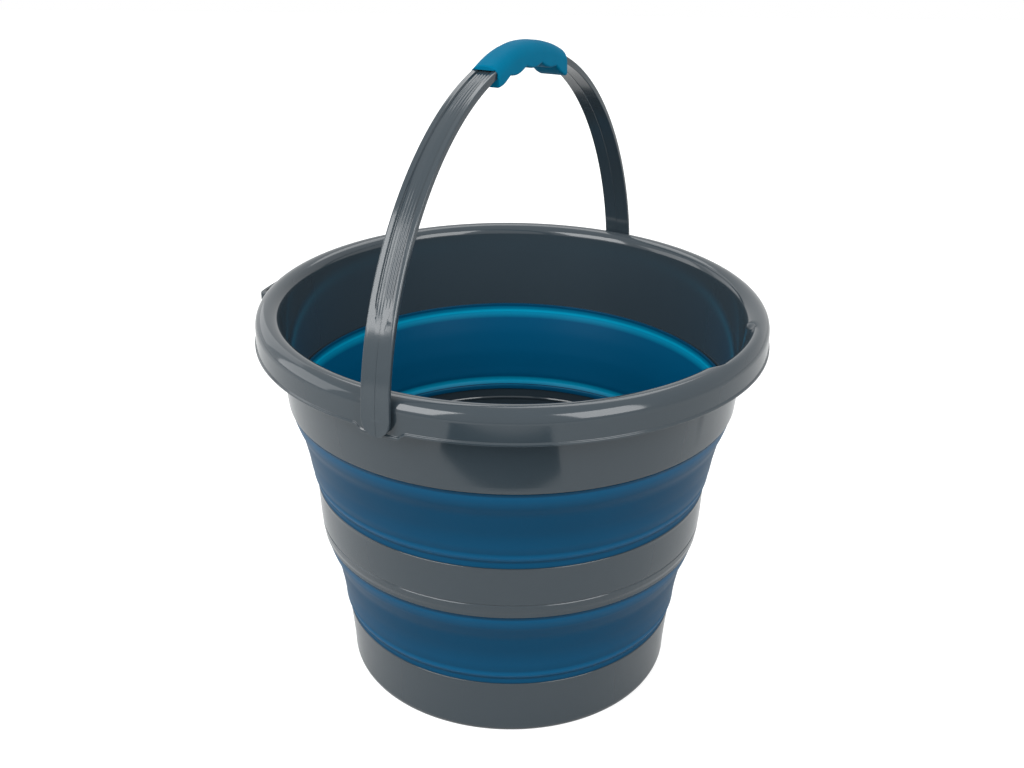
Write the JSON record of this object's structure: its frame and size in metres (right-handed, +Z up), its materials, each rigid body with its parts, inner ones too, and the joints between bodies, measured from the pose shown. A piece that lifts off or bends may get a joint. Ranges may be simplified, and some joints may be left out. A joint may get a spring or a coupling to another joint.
{
  "type": "collapsible bucket",
  "caption": "Round collapsible camp bucket with stiff rings, soft folding walls, a pouring scoop, a hanging loop and a hinged bail with a finger-grooved grip.",
  "frame": {"origin": "centre of the base's flat underside, on the ground", "axes": "+Z up, +X along the bail's pivot axis, -Y towards the pouring scoop, +Y towards the hanging loop"},
  "size_m": [0.331, 0.3334, 0.4135],
  "materials": {
    "grey_plastic": "satin moulded polypropylene",
    "blue_elastomer": "satin thermoplastic elastomer",
    "dark_grey_plastic": "satin moulded polypropylene",
    "grip_elastomer": "soft matte thermoplastic elastomer"
  },
  "bodies": {
    "base_body": {"base": "grey_plastic", "lower_fold": "blue_elastomer"},
    "middle_body": {"middle_ring": "grey_plastic", "upper_fold": "blue_elastomer"},
    "upper_body": {"upper_ring": "grey_plastic"},
    "bail_body": {"bail": "dark_grey_plastic", "grip": "grip_elastomer"}
  },
  "joints": [
    {"name": "lower_fold_slide", "type": "slide", "parent": "base_body", "child": "middle_body", "axis": [0, 0, 1], "range_m": [-0.096, 0], "deforming": ["lower_fold"]},
    {"name": "upper_fold_slide", "type": "slide", "parent": "middle_body", "child": "upper_body", "axis": [0, 0, 1], "range_m": [-0.0947, 0], "deforming": ["upper_fold"]},
    {"name": "bail_hinge", "type": "hinge", "parent": "upper_body", "child": "bail_body", "pos_m": [0, -0.0025, 0.2423], "axis": [1, 0, 0], "range_deg": [-57, 73]}
  ]
}
